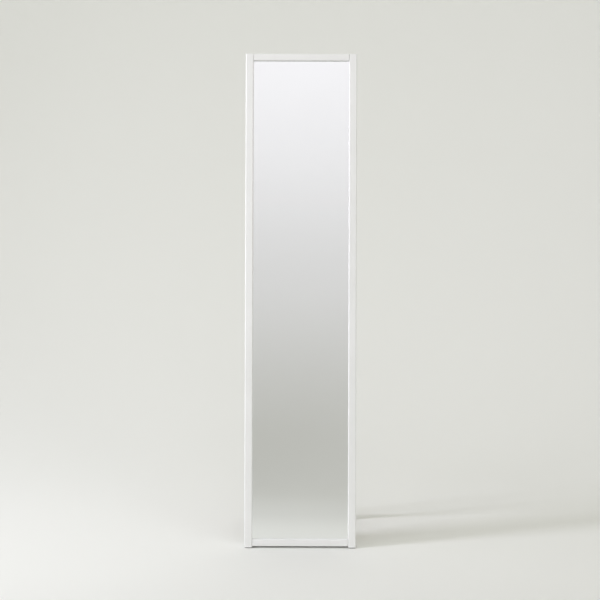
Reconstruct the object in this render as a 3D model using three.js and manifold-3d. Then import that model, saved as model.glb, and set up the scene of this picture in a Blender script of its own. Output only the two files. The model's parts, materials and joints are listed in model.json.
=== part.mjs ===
// Slim free-standing mirror: a white wooden frame that leans back on a folding rear stand.
// Millimetres, +Z up. The mirror faces -Y. The origin is the centre of the bounding box, on the floor.
import * as THREE from 'three';
import { mergeVertices } from 'three/addons/utils/BufferGeometryUtils.js';
import Module from 'manifold-3d';

const wasm = await Module();
wasm.setup();

// ---------------------------------------------------------------- driving dimensions
const WIDTH = 338;            // over both stiles
const STILE_LENGTH = 1500;
const STILE_FACE = 24;        // width of a stile seen from the front
const DEPTH = 30;             // frame, front to back
const LEAN = THREE.MathUtils.degToRad(6.5);

const RAIL_FACE = 21;         // height of a rail seen from the front
const HORN = 0.4;             // stile above the top rail
const RAIL_CLEAR = 6.4;       // bottom rail above the square end of the stiles

const RECESS = 8;             // front of the frame to the glass
const LIP = 5;                // width of the rebate that holds the glass
const GLASS = 3;
const PACKING = 1.5;
const BOARD = 2.5;
const BEAD_W = 7;
const BEAD_T = 8;

const GAP = 0.15;             // between glued or pressed faces
const DOWEL_R = 3;
const SIDES = 12;

const HINGE_Z = 1100;         // hinge line, along the stiles
const KNUCKLE_R = 2.75;
const PIN_R = 1.2;
const LEAF_T = 1.2;
const HINGE_X = 88;
const HINGE_LENGTH = 50;
const LEAF_A = 20;            // height of the leaf on the frame
const LEAF_B = 18;            // depth of the leaf on the stand
const HINGE_RAIL_LOW = 15;    // hinge rail below the hinge line
const HINGE_RAIL_HIGH = 25;   // and above it

const OPENING = THREE.MathUtils.degToRad(12.25);
const LEG_W = 16;
const LEG_T = 16;
const LEG_OUT = 167;          // outer side of a leg, from the middle
const LEG_OFF = 7;            // leg to the back of the frame when folded
const LEG_TOP = 23;           // leg above the hinge line: the stop
const UPPER_BAR = 30;
const LOWER_BAR = 25;
const LOWER_BAR_Z = 76;       // lower edge of the lower crossbar above the floor

const PAD = 2;                // foot pads
const STOP_PAD = 1.65;

// ---------------------------------------------------------------- derived
const XO = WIDTH / 2;                       // outer side of a stile
const XI = XO - STILE_FACE;                 // inner side, front part
const XR = XI + LIP;                        // inner side, behind the rebate
const TOP1 = STILE_LENGTH - HORN;
const TOP0 = TOP1 - RAIL_FACE;
const BOT0 = RAIL_CLEAR;
const BOT1 = BOT0 + RAIL_FACE;
const AXIS_Y = DEPTH + GAP + KNUCKLE_R;
const FLOOR_CUT = PAD + 0.2;                // stile and leg ends, just above the pads
const ST = Math.sin(LEAN), CT = Math.cos(LEAN);
const DELTA = OPENING - LEAN;
const SD = Math.sin(DELTA), CD = Math.cos(DELTA);
const AXIS_WY = AXIS_Y * CT + HINGE_Z * ST; // hinge line once the frame leans
const AXIS_WZ = -AXIS_Y * ST + HINGE_Z * CT;
const LEG_Y0 = DEPTH + LEG_OFF - AXIS_Y;    // leg front, from the hinge line
const LEG_Y1 = LEG_Y0 + LEG_T;
const LEG_YM = (LEG_Y0 + LEG_Y1) / 2;
const legEnd = y => (FLOOR_CUT - AXIS_WZ - y * SD) / CD;
const stileEnd = y => (FLOOR_CUT + y * ST) / CT;
const backOfFoot = AXIS_WY + LEG_Y1 * CD - legEnd(LEG_Y1) * SD;
const frontOfFoot = stileEnd(0) * ST;
const SHIFT_Y = -(backOfFoot + frontOfFoot) / 2;

// ---------------------------------------------------------------- materials
const mat = (color, roughness, metalness = 0) => new THREE.MeshStandardMaterial({ color, roughness, metalness });
const paint = mat(0xe9eae6, 0.45);
const silver = mat(0xdfe6e4, 0.04, 1);
const hardboard = mat(0x8a6a48, 0.8);
const card = mat(0xb9a27c, 0.9);
const beech = mat(0xc9a878, 0.7);
const steel = mat(0xb8babb, 0.35, 1);
const felt = mat(0x4b4c4d, 0.95);
const rubber = mat(0x3a3b3c, 0.8);

// ---------------------------------------------------------------- helpers
const box = (x0, x1, y0, y1, z0, z1) => {
  const g = new THREE.BoxGeometry(x1 - x0, y1 - y0, z1 - z0);
  g.translate((x0 + x1) / 2, (y0 + y1) / 2, (z0 + z1) / 2);
  return g;
};
// a round bar along an axis, from a to b on that axis; u and v are its other two coordinates in X, Y, Z order
const bar = (axis, r, a, b, u, v, sides = SIDES, r2 = r) => {
  const g = new THREE.CylinderGeometry(r2, r, b - a, sides);
  if (axis === 'x') { g.rotateZ(-Math.PI / 2); g.translate((a + b) / 2, u, v); }
  if (axis === 'y') { g.translate(u, (a + b) / 2, v); }
  if (axis === 'z') { g.rotateX(Math.PI / 2); g.translate(u, v, (a + b) / 2); }
  return g;
};
const solid = geometry => {
  let g = geometry.clone();
  if (g.attributes.normal) g.deleteAttribute('normal');
  if (g.attributes.uv) g.deleteAttribute('uv');
  g = mergeVertices(g, 1e-4);
  return new wasm.Manifold(new wasm.Mesh({
    numProp: 3,
    vertProperties: new Float32Array(g.attributes.position.array),
    triVerts: new Uint32Array(g.index.array),
  }));
};
const shape = manifold => {
  const m = manifold.getMesh();
  const g = new THREE.BufferGeometry();
  const p = new Float32Array(m.numVert * 3);
  for (let i = 0; i < m.numVert; i++) for (let k = 0; k < 3; k++) p[i * 3 + k] = m.vertProperties[i * m.numProp + k];
  g.setAttribute('position', new THREE.BufferAttribute(p, 3));
  g.setIndex(new THREE.BufferAttribute(new Uint32Array(m.triVerts), 1));
  g.computeVertexNormals();
  return g;
};
const join = parts => shape(parts.map(solid).reduce((a, b) => a.add(b)));
const cut = (body, holes) => shape(holes.map(solid).reduce((a, b) => a.subtract(b), solid(body)));
const place = (parent, name, geometry, material) => {
  const mesh = new THREE.Mesh(geometry, material);
  mesh.name = name;
  parent.add(mesh);
};
// a prism along X from an outline in Y and Z
const prismX = (outline, x0, x1) => {
  const g = new THREE.ExtrudeGeometry(new THREE.Shape(outline.map(([y, z]) => new THREE.Vector2(y, z))), { depth: x1 - x0, bevelEnabled: false });
  g.applyMatrix4(new THREE.Matrix4().makeBasis(new THREE.Vector3(0, 1, 0), new THREE.Vector3(0, 0, 1), new THREE.Vector3(1, 0, 0)));
  g.translate(x0, 0, 0);
  return g;
};
// a wood screw with a countersunk head: head flush at the origin, point towards -Y
const screwProfile = (length, r, head, grow = 0) => [
  [0, -length - grow], [r * 0.55 + grow, -length - grow], [r + grow, -length + 3], [r + grow, -head - 0.2],
  [head + grow, -0.35], [head + grow, grow], [0, grow],
].map(([x, y]) => new THREE.Vector2(x, y));
const toDown = new THREE.Matrix4().makeRotationX(Math.PI / 2);
const screwAt = (size, dir, x, y, z, grow = 0) => {
  const g = new THREE.LatheGeometry(screwProfile(...size, grow), 12);
  if (dir === 'down') g.applyMatrix4(toDown);
  g.translate(x, y, z);
  return g;
};
// the same screw, larger all round, as a solid that cuts its hole
const screwHole = (size, dir, x, y, z) => {
  const g = screwAt(size, dir, x, y, z, 0.25);
  g.deleteAttribute('normal');
  g.deleteAttribute('uv');
  const m = mergeVertices(g, 1e-4);
  const old = m.index.array, keep = [];
  for (let i = 0; i < old.length; i += 3) {
    const [a, b, c] = [old[i], old[i + 1], old[i + 2]];
    if (a !== b && b !== c && a !== c) keep.push(a, b, c);
  }
  m.setIndex(keep);
  return m;
};

const mirror = new THREE.Group();
mirror.position.y = SHIFT_Y;
const frame = new THREE.Group();
frame.rotation.x = -LEAN;
mirror.add(frame);
const stand = new THREE.Group();
stand.position.set(0, AXIS_Y, HINGE_Z);
stand.rotation.x = OPENING;
frame.add(stand);

// ---------------------------------------------------------------- frame
// dowels in the corners: centre in Y and Z of each
const dowelSpots = [
  [13.5, BOT0 + 8], [23.5, BOT0 + 8],
  [13.5, TOP1 - 8], [23.5, TOP1 - 8],
];
const DOWEL_X0 = XI - 17, DOWEL_X1 = XI + 13;
const railScrewZ = [HINGE_Z - 6, HINGE_Z + 12];
const RAIL_SCREW_X = XR + 5;
const RAIL_SCREW = [20, 1.7, 3.3];

for (const [side, s] of [['left', -1], ['right', 1]]) {
  // an L section: the full face in front, the rebate for the glass behind it
  const section = new THREE.Shape([[XI, 0], [XO, 0], [XO, DEPTH], [XR, DEPTH], [XR, RECESS], [XI, RECESS]].map(([x, y]) => new THREE.Vector2(x, y)));
  const g = new THREE.ExtrudeGeometry(section, { depth: STILE_LENGTH, bevelEnabled: false });
  const p = g.attributes.position;
  for (let i = 0; i < p.count; i++) if (p.getZ(i) < 1) p.setZ(i, stileEnd(p.getY(i))); // lower end cut level with the floor
  const holes = dowelSpots.map(([y, z]) => bar('x', DOWEL_R + 0.15, XI - 1, DOWEL_X1 + 0.2, y, z));
  holes.push(box(XR - 1, XR + 10.15, DEPTH - 6.15, DEPTH + 1, HINGE_Z - HINGE_RAIL_LOW - GAP, HINGE_Z + HINGE_RAIL_HIGH + GAP));
  for (const z of railScrewZ) holes.push(screwHole(RAIL_SCREW, 'front', RAIL_SCREW_X, DEPTH - 0.1, z));
  let stile = cut(g, holes);
  if (s < 0) {
    stile = stile.clone();
    stile.applyMatrix4(new THREE.Matrix4().makeScale(-1, 1, 1));
    const idx = stile.index.array;
    for (let i = 0; i < idx.length; i += 3) [idx[i], idx[i + 1]] = [idx[i + 1], idx[i]];
  }
  place(frame, `stile_${side}`, stile, paint);
}

const rail = (z0, z1, lipLow, name) => {
  // the lip is the part in front of the glass, on the side that faces the opening
  const r0 = lipLow ? z0 + LIP : z0;
  const r1 = lipLow ? z1 : z1 - LIP;
  const x1 = XI - GAP, x2 = XR - GAP;
  const body = join([
    box(-x1, x1, 0, RECESS, z0, z1),
    box(-x1, x1, 0, DEPTH, r0, r1),
    box(-x2, x2, RECESS + GAP, DEPTH, r0, r1),
  ]);
  const holes = [];
  for (const [y, z] of dowelSpots) if (z > z0 && z < z1) for (const s of [-1, 1])
    holes.push(s > 0 ? bar('x', DOWEL_R + 0.15, DOWEL_X0 - 0.2, x2 + 1, y, z) : bar('x', DOWEL_R + 0.15, -x2 - 1, -DOWEL_X0 + 0.2, y, z));
  place(frame, name, cut(body, holes), paint);
};
rail(TOP0, TOP1, true, 'rail_top');
rail(BOT0, BOT1, false, 'rail_bottom');

let n = 0;
for (const [y, z] of dowelSpots) for (const s of [-1, 1]) {
  n += 1;
  place(frame, `frame_dowel_${n}`, s > 0 ? bar('x', DOWEL_R, DOWEL_X0, DOWEL_X1, y, z) : bar('x', DOWEL_R, -DOWEL_X1, -DOWEL_X0, y, z), beech);
}

// ---------------------------------------------------------------- glass and back
const PX = XR - 0.4;
const PZ0 = BOT1 - LIP + 0.3, PZ1 = TOP0 + LIP - 0.3;
let y = RECESS + GAP;
place(frame, 'mirror_glass', box(-PX, PX, y, y + GLASS, PZ0, PZ1), silver);
y += GLASS + GAP;
place(frame, 'packing_sheet', box(-PX + 2, PX - 2, y, y + PACKING, PZ0 + 2, PZ1 - 2), card);
y += PACKING + GAP;
place(frame, 'backing_board', box(-PX, PX, y, y + BOARD, PZ0, PZ1), hardboard);
y += BOARD + GAP;
const BACK = y;

// strips with a bevelled inner edge
const BX = XR - GAP;
const bead = (name, s, z0, z1) => {
  const o = [[BX, BACK], [BX, BACK + BEAD_T], [BX - BEAD_W + 3, BACK + BEAD_T], [BX - BEAD_W, BACK + BEAD_T - 4], [BX - BEAD_W, BACK]];
  const pts = (s > 0 ? o : o.map(([x, yy]) => [-x, yy]).reverse()).map(([x, yy]) => new THREE.Vector2(x, yy));
  const g = new THREE.ExtrudeGeometry(new THREE.Shape(pts), { depth: z1 - z0, bevelEnabled: false });
  g.translate(0, 0, z0);
  place(frame, name, g, paint);
};
const HR0 = HINGE_Z - HINGE_RAIL_LOW, HR1 = HINGE_Z + HINGE_RAIL_HIGH;
for (const [side, s] of [['left', -1], ['right', 1]]) {
  bead(`bead_${side}_lower`, s, PZ0, HR0 - 0.2);
  bead(`bead_${side}_upper`, s, HR1 + 0.2, PZ1);
}
const BXI = BX - BEAD_W - 0.2;
place(frame, 'bead_top', prismX([[BACK, PZ1 - BEAD_W], [BACK + BEAD_T - 4, PZ1 - BEAD_W], [BACK + BEAD_T, PZ1 - BEAD_W + 3], [BACK + BEAD_T, PZ1], [BACK, PZ1]], -BXI, BXI), paint);
place(frame, 'bead_bottom', prismX([[BACK, PZ0], [BACK + BEAD_T, PZ0], [BACK + BEAD_T, PZ0 + BEAD_W - 3], [BACK + BEAD_T - 4, PZ0 + BEAD_W], [BACK, PZ0 + BEAD_W]], -BXI, BXI), paint);

// ---------------------------------------------------------------- hinge rail, let into the stiles with a tongue at each end
const tongue = XR + 10;
const LEAF_SCREW_A = [10.8, 1.5, 2.9], LEAF_SCREW_B = [15, 1.5, 2.9];
const FACE_A = AXIS_Y - KNUCKLE_R + LEAF_T - 0.1, FACE_B = -KNUCKLE_R + LEAF_T - 0.1; // screw heads
const leafScrewX = [];
for (const s of [-1, 1]) for (const o of [-17, 17]) leafScrewX.push(s * HINGE_X + o);
{
  const body = join([
    box(-BX, BX, BACK, DEPTH, HR0, HR1),
    box(-tongue, tongue, DEPTH - 6, DEPTH, HR0, HR1),
  ]);
  const holes = [];
  for (const s of [-1, 1]) for (const z of railScrewZ) holes.push(screwHole(RAIL_SCREW, 'front', s * RAIL_SCREW_X, DEPTH - 0.1, z));
  for (const x of leafScrewX) holes.push(screwHole(LEAF_SCREW_A, 'front', x, FACE_A, HINGE_Z + 13));
  place(frame, 'hinge_rail', cut(body, holes), paint);
}
n = 0;
for (const s of [-1, 1]) for (const z of railScrewZ) {
  n += 1;
  place(frame, `hinge_rail_screw_${n}`, screwAt(RAIL_SCREW, 'front', s * RAIL_SCREW_X, DEPTH - 0.1, z), steel);
}

// ---------------------------------------------------------------- hinges
const half = HINGE_LENGTH / 2;
const K = 9;                                 // half length of the middle knuckle
const ring = (x0, x1, yy, zz) => shape(solid(bar('x', KNUCKLE_R, x0, x1, yy, zz, 16)).subtract(solid(bar('x', PIN_R + 0.15, x0 - 1, x1 + 1, yy, zz, 16))));
n = 0;
for (const [side, s] of [['left', -1], ['right', 1]]) {
  const c = s * HINGE_X;
  // leaf on the frame: two outer knuckles, plate upwards on the back of the hinge rail
  const plateA = cut(box(c - half, c + half, AXIS_Y - KNUCKLE_R, AXIS_Y - KNUCKLE_R + LEAF_T, HINGE_Z, HINGE_Z + LEAF_A), [
    bar('x', KNUCKLE_R + 0.3, c - K - 0.3, c + K + 0.3, AXIS_Y, HINGE_Z, 16),
    bar('x', PIN_R + 0.15, c - half - 1, c + half + 1, AXIS_Y, HINGE_Z, 16),
    ...[-17, 17].map(o => screwHole(LEAF_SCREW_A, 'front', c + o, FACE_A, HINGE_Z + 13)),
  ]);
  place(frame, `hinge_${side}_frame_leaf`, join([plateA, ring(c - half, c - K - 0.15, AXIS_Y, HINGE_Z), ring(c + K + 0.15, c + half, AXIS_Y, HINGE_Z)]), steel);
  // leaf on the stand: the middle knuckle, plate backwards on the top of the upper crossbar
  const plateB = cut(box(c - half, c + half, 0, LEAF_B, -KNUCKLE_R, -KNUCKLE_R + LEAF_T), [
    bar('x', KNUCKLE_R + 0.3, c - half - 1, c - K + 0.15, 0, 0, 16),
    bar('x', KNUCKLE_R + 0.3, c + K - 0.15, c + half + 1, 0, 0, 16),
    bar('x', PIN_R + 0.15, c - half - 1, c + half + 1, 0, 0, 16),
    ...[-17, 17].map(o => screwHole(LEAF_SCREW_B, 'down', c + o, LEG_YM, FACE_B)),
  ]);
  place(stand, `hinge_${side}_stand_leaf`, join([plateB, ring(c - K + 0.15, c + K - 0.15, 0, 0)]), steel);
  // pin with a flattened head at both ends
  place(frame, `hinge_${side}_pin`, join([
    bar('x', PIN_R, c - half - 0.7, c + half + 0.7, AXIS_Y, HINGE_Z, 16),
    bar('x', 2.0, c - half - 1.3, c - half - 0.2, AXIS_Y, HINGE_Z, 16),
    bar('x', 2.0, c + half + 0.2, c + half + 1.3, AXIS_Y, HINGE_Z, 16),
  ]), steel);
  for (const o of [-17, 17]) {
    n += 1;
    place(frame, `frame_leaf_screw_${n}`, screwAt(LEAF_SCREW_A, 'front', c + o, FACE_A, HINGE_Z + 13), steel);
    place(stand, `stand_leaf_screw_${n}`, screwAt(LEAF_SCREW_B, 'down', c + o, LEG_YM, FACE_B), steel);
  }
}

// ---------------------------------------------------------------- rear stand
const LEG_IN = LEG_OUT - LEG_W;
const BAR_END = LEG_IN - GAP;
const UPPER1 = -KNUCKLE_R - GAP, UPPER0 = UPPER1 - UPPER_BAR;
const LOWER0 = legEnd(LEG_YM) + (LOWER_BAR_Z - FLOOR_CUT) / CD, LOWER1 = LOWER0 + LOWER_BAR;
const standDowels = [UPPER1 - 8.5, UPPER0 + 8, LOWER1 - 6.5, LOWER0 + 6.5];
const SD0 = LEG_IN - 14, SD1 = LEG_IN + 11;
for (const [side, s] of [['left', -1], ['right', 1]]) {
  const g = s > 0 ? box(LEG_IN, LEG_OUT, LEG_Y0, LEG_Y1, -100, LEG_TOP) : box(-LEG_OUT, -LEG_IN, LEG_Y0, LEG_Y1, -100, LEG_TOP);
  const p = g.attributes.position;
  for (let i = 0; i < p.count; i++) if (p.getZ(i) < 0) p.setZ(i, legEnd(p.getY(i)));
  place(stand, `leg_${side}`, cut(g, standDowels.map(z => s > 0
    ? bar('x', DOWEL_R + 0.15, LEG_IN - 1, SD1 + 0.2, LEG_YM, z)
    : bar('x', DOWEL_R + 0.15, -SD1 - 0.2, -LEG_IN + 1, LEG_YM, z))), paint);
}
const crossbar = (name, z0, z1, extra) => {
  const holes = [...extra];
  for (const z of standDowels) if (z > z0 && z < z1) {
    holes.push(bar('x', DOWEL_R + 0.15, SD0 - 0.2, BAR_END + 1, LEG_YM, z));
    holes.push(bar('x', DOWEL_R + 0.15, -BAR_END - 1, -SD0 + 0.2, LEG_YM, z));
  }
  place(stand, name, cut(box(-BAR_END, BAR_END, LEG_Y0, LEG_Y1, z0, z1), holes), paint);
};
crossbar('crossbar_upper', UPPER0, UPPER1, leafScrewX.map(x => screwHole(LEAF_SCREW_B, 'down', x, LEG_YM, FACE_B)));
crossbar('crossbar_lower', LOWER0, LOWER1, []);
n = 0;
for (const z of standDowels) for (const s of [-1, 1]) {
  n += 1;
  place(stand, `stand_dowel_${n}`, s > 0 ? bar('x', DOWEL_R, SD0, SD1, LEG_YM, z) : bar('x', DOWEL_R, -SD1, -SD0, LEG_YM, z), beech);
}

// ---------------------------------------------------------------- pads
for (const [side, s] of [['left', -1], ['right', 1]]) {
  const b = (x0, x1, ...rest) => s > 0 ? box(x0, x1, ...rest) : box(-x1, -x0, ...rest);
  place(frame, `stop_pad_${side}`, b(XR + 1.5, XR + 13, DEPTH + 0.1, DEPTH + 0.1 + STOP_PAD, HINGE_Z + 19, HINGE_Z + 31), rubber);
  place(mirror, `foot_pad_front_${side}`, b(XI + 2, XO - 2, 3, DEPTH - 3, 0, PAD), felt);
  const yf = AXIS_WY + LEG_YM * CD - legEnd(LEG_YM) * SD;
  place(mirror, `foot_pad_rear_${side}`, b(LEG_IN + 2, LEG_OUT - 2, yf - 6.5, yf + 6.5, 0, PAD), felt);
}

export default mirror;
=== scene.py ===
import bpy
import bmesh
import json
import math
from mathutils import Vector, Matrix


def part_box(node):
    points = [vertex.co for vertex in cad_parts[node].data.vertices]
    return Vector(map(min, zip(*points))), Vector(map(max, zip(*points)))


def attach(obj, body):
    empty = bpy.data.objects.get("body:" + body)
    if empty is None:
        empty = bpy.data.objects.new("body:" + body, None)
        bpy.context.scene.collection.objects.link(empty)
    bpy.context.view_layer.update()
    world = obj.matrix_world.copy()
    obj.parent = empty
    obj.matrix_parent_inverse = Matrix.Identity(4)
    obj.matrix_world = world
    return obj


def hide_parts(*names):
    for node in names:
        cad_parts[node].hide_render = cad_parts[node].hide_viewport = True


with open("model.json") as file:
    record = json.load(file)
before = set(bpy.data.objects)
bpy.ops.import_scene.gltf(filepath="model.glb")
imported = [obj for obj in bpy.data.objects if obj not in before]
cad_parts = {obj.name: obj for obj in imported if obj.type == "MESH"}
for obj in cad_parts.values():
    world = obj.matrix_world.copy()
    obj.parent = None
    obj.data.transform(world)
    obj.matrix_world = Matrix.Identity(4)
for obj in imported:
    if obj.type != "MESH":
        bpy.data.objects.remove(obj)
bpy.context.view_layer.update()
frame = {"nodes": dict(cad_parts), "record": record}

LEAN_DEG, OPENING_DEG = 6.5, 12.25  # the frame's lean from upright, and the stand's angle to the frame
NODES = frame["nodes"]
scene = bpy.context.scene
scene.view_settings.view_transform = "Standard"
scene.view_settings.look = "None"
scene.view_settings.exposure = 0.0
scene.view_settings.gamma = 1.0


# ------------------------------------------------------------------ camera
# The pictured view: about 3 m in front of the frame's foot and 1.1 m up, looking a little down.
CAM_H = 1.087
CAM_BACK = 3.0
CAM_PITCH = 6.28
CAM_ROLL = 0.181
FOCAL_PX = 1024.0
FRONT_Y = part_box("stile_left")[0].y  # front of the stiles where they meet the floor

cam_data = bpy.data.cameras.new("camera")
cam_data.sensor_fit = "HORIZONTAL"
cam_data.sensor_width = 36.0
cam_data.lens = 36.0 * FOCAL_PX / 600.0
cam_data.clip_start = 0.05
cam_data.clip_end = 60.0
camera = bpy.data.objects.new("camera", cam_data)
scene.collection.objects.link(camera)
CAM_X = -0.0023
camera.location = (CAM_X, FRONT_Y - CAM_BACK, CAM_H)
look = Matrix.Rotation(math.radians(90.0 - CAM_PITCH), 4, "X") @ Matrix.Rotation(math.radians(CAM_ROLL), 4, "Z")
camera.rotation_euler = look.to_euler()
scene.camera = camera


# ------------------------------------------------------------------ material helpers
def new_material(name):
    m = bpy.data.materials.new(name)
    m.use_nodes = True
    nt = m.node_tree
    nt.nodes.clear()
    out = nt.nodes.new("ShaderNodeOutputMaterial")
    b = nt.nodes.new("ShaderNodeBsdfPrincipled")
    nt.links.new(b.outputs["BSDF"], out.inputs["Surface"])
    return m, nt, b


def node(nt, kind, **values):
    n = nt.nodes.new(kind)
    for k, v in values.items():
        if k in n.inputs:
            n.inputs[k].default_value = v
        else:
            setattr(n, k, v)
    return n


def object_coords(nt, scale=(1, 1, 1), turn=0.0):
    # turn, in degrees about X, lines the pattern up with a leaning piece; scale then draws it out
    tc = nt.nodes.new("ShaderNodeTexCoord")
    mp = nt.nodes.new("ShaderNodeMapping")
    mp.vector_type = "TEXTURE"
    mp.inputs["Rotation"].default_value = (math.radians(turn), 0, 0)
    mp.inputs["Scale"].default_value = tuple(1 / c for c in scale)
    nt.links.new(tc.outputs["Object"], mp.inputs["Vector"])
    return mp.outputs["Vector"]


def ramp(nt, fac, stops):
    r = nt.nodes.new("ShaderNodeValToRGB")
    el = r.color_ramp.elements
    el[0].position, el[0].color = stops[0][0], (*stops[0][1], 1)
    el[1].position, el[1].color = stops[-1][0], (*stops[-1][1], 1)
    for p, c in stops[1:-1]:
        e = el.new(p)
        e.color = (*c, 1)
    nt.links.new(fac, r.inputs["Fac"])
    return r.outputs["Color"]


# ------------------------------------------------------------------ materials
def paint_material(name="white_satin_paint", grain=(1.0, 1.0, 0.035), turn=0.0):
    # white satin paint sprayed on wood: near-uniform, with faint cloudiness, a fine orange peel and a trace of the
    # grain, which runs along each piece
    m, nt, b = new_material(name)
    v = object_coords(nt)
    cloud = node(nt, "ShaderNodeTexNoise", Scale=9.0, Detail=3.0, Roughness=0.5)
    nt.links.new(v, cloud.inputs["Vector"])
    col = ramp(nt, cloud.outputs["Fac"], [(0.30, (0.828, 0.833, 0.819)), (0.70, (0.856, 0.860, 0.848))])
    nt.links.new(col, b.inputs["Base Color"])
    grain_v = object_coords(nt, grain, turn)
    grain = node(nt, "ShaderNodeTexNoise", Scale=420.0, Detail=4.0, Roughness=0.6)
    nt.links.new(grain_v, grain.inputs["Vector"])
    peel = node(nt, "ShaderNodeTexNoise", Scale=900.0, Detail=2.0, Roughness=0.5)
    nt.links.new(v, peel.inputs["Vector"])
    add = node(nt, "ShaderNodeMath", operation="MULTIPLY_ADD")
    nt.links.new(grain.outputs["Fac"], add.inputs[0])
    add.inputs[1].default_value = 0.6
    nt.links.new(peel.outputs["Fac"], add.inputs[2])
    bump = node(nt, "ShaderNodeBump", Strength=0.22, Distance=0.0005)
    nt.links.new(add.outputs[0], bump.inputs["Height"])
    nt.links.new(bump.outputs["Normal"], b.inputs["Normal"])
    rough = node(nt, "ShaderNodeMapRange")
    rough.inputs["To Min"].default_value = 0.36
    rough.inputs["To Max"].default_value = 0.46
    nt.links.new(cloud.outputs["Fac"], rough.inputs["Value"])
    nt.links.new(rough.outputs["Result"], b.inputs["Roughness"])
    b.inputs["IOR"].default_value = 1.48
    return m


def mirror_material():
    m, nt, b = new_material("silvered_glass")
    v = object_coords(nt)
    haze = node(nt, "ShaderNodeTexNoise", Scale=3.0, Detail=3.0, Roughness=0.55)
    nt.links.new(v, haze.inputs["Vector"])
    col = ramp(nt, haze.outputs["Fac"], [(0.3, (0.925, 0.938, 0.930)), (0.7, (0.935, 0.948, 0.940))])
    nt.links.new(col, b.inputs["Base Color"])
    b.inputs["Metallic"].default_value = 1.0
    b.inputs["Roughness"].default_value = 0.015
    return m


def board_material():
    # smooth face of brown hardboard: fine pressed fibres in all directions
    m, nt, b = new_material("brown_hardboard")
    v = object_coords(nt)
    big = node(nt, "ShaderNodeTexNoise", Scale=5.0, Detail=2.0, Roughness=0.5)
    nt.links.new(v, big.inputs["Vector"])
    fibre = node(nt, "ShaderNodeTexNoise", Scale=700.0, Detail=5.0, Roughness=0.7)
    fibre.inputs["Distortion"].default_value = 1.2
    nt.links.new(v, fibre.inputs["Vector"])
    mix = node(nt, "ShaderNodeMath", operation="MULTIPLY_ADD")
    nt.links.new(fibre.outputs["Fac"], mix.inputs[0])
    mix.inputs[1].default_value = 0.7
    scaled = node(nt, "ShaderNodeMath", operation="MULTIPLY")
    nt.links.new(big.outputs["Fac"], scaled.inputs[0])
    scaled.inputs[1].default_value = 0.12
    nt.links.new(scaled.outputs[0], mix.inputs[2])
    col = ramp(nt, mix.outputs[0], [(0.26, (0.178, 0.100, 0.052)), (0.41, (0.240, 0.142, 0.077)), (0.56, (0.305, 0.190, 0.108))])
    nt.links.new(col, b.inputs["Base Color"])
    bump = node(nt, "ShaderNodeBump", Strength=0.25, Distance=0.0003)
    nt.links.new(fibre.outputs["Fac"], bump.inputs["Height"])
    nt.links.new(bump.outputs["Normal"], b.inputs["Normal"])
    b.inputs["Roughness"].default_value = 0.55
    return m


def steel_material():
    m, nt, b = new_material("zinc_plated_steel")
    v = object_coords(nt)
    cloud = node(nt, "ShaderNodeTexVoronoi", Scale=260.0)
    nt.links.new(v, cloud.inputs["Vector"])
    col = ramp(nt, cloud.outputs["Distance"], [(0.0, (0.60, 0.61, 0.62)), (1.0, (0.70, 0.71, 0.72))])
    nt.links.new(col, b.inputs["Base Color"])
    b.inputs["Metallic"].default_value = 1.0
    fine = node(nt, "ShaderNodeTexNoise", Scale=1500.0, Detail=3.0)
    nt.links.new(v, fine.inputs["Vector"])
    rough = node(nt, "ShaderNodeMapRange")
    rough.inputs["To Min"].default_value = 0.26
    rough.inputs["To Max"].default_value = 0.44
    nt.links.new(fine.outputs["Fac"], rough.inputs["Value"])
    nt.links.new(rough.outputs["Result"], b.inputs["Roughness"])
    bump = node(nt, "ShaderNodeBump", Strength=0.08, Distance=0.0001)
    nt.links.new(fine.outputs["Fac"], bump.inputs["Height"])
    nt.links.new(bump.outputs["Normal"], b.inputs["Normal"])
    return m


def beech_material():
    m, nt, b = new_material("beech")
    v = object_coords(nt, (0.06, 1.0, 1.0))
    grain = node(nt, "ShaderNodeTexNoise", Scale=900.0, Detail=5.0, Roughness=0.6)
    nt.links.new(v, grain.inputs["Vector"])
    col = ramp(nt, grain.outputs["Fac"], [(0.35, (0.50, 0.33, 0.18)), (0.65, (0.66, 0.47, 0.29))])
    nt.links.new(col, b.inputs["Base Color"])
    bump = node(nt, "ShaderNodeBump", Strength=0.2, Distance=0.0002)
    nt.links.new(grain.outputs["Fac"], bump.inputs["Height"])
    nt.links.new(bump.outputs["Normal"], b.inputs["Normal"])
    b.inputs["Roughness"].default_value = 0.6
    return m


def card_material():
    m, nt, b = new_material("grey_card")
    v = object_coords(nt)
    fibre = node(nt, "ShaderNodeTexNoise", Scale=500.0, Detail=5.0, Roughness=0.7)
    nt.links.new(v, fibre.inputs["Vector"])
    col = ramp(nt, fibre.outputs["Fac"], [(0.35, (0.38, 0.30, 0.21)), (0.65, (0.50, 0.41, 0.30))])
    nt.links.new(col, b.inputs["Base Color"])
    b.inputs["Roughness"].default_value = 0.9
    return m


def felt_material():
    m, nt, b = new_material("pressed_felt")
    v = object_coords(nt)
    fibre = node(nt, "ShaderNodeTexNoise", Scale=1400.0, Detail=6.0, Roughness=0.75)
    nt.links.new(v, fibre.inputs["Vector"])
    col = ramp(nt, fibre.outputs["Fac"], [(0.3, (0.055, 0.055, 0.057)), (0.7, (0.105, 0.105, 0.108))])
    nt.links.new(col, b.inputs["Base Color"])
    bump = node(nt, "ShaderNodeBump", Strength=0.8, Distance=0.0004)
    nt.links.new(fibre.outputs["Fac"], bump.inputs["Height"])
    nt.links.new(bump.outputs["Normal"], b.inputs["Normal"])
    b.inputs["Roughness"].default_value = 0.95
    b.inputs["Sheen Weight"].default_value = 0.3
    return m


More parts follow.
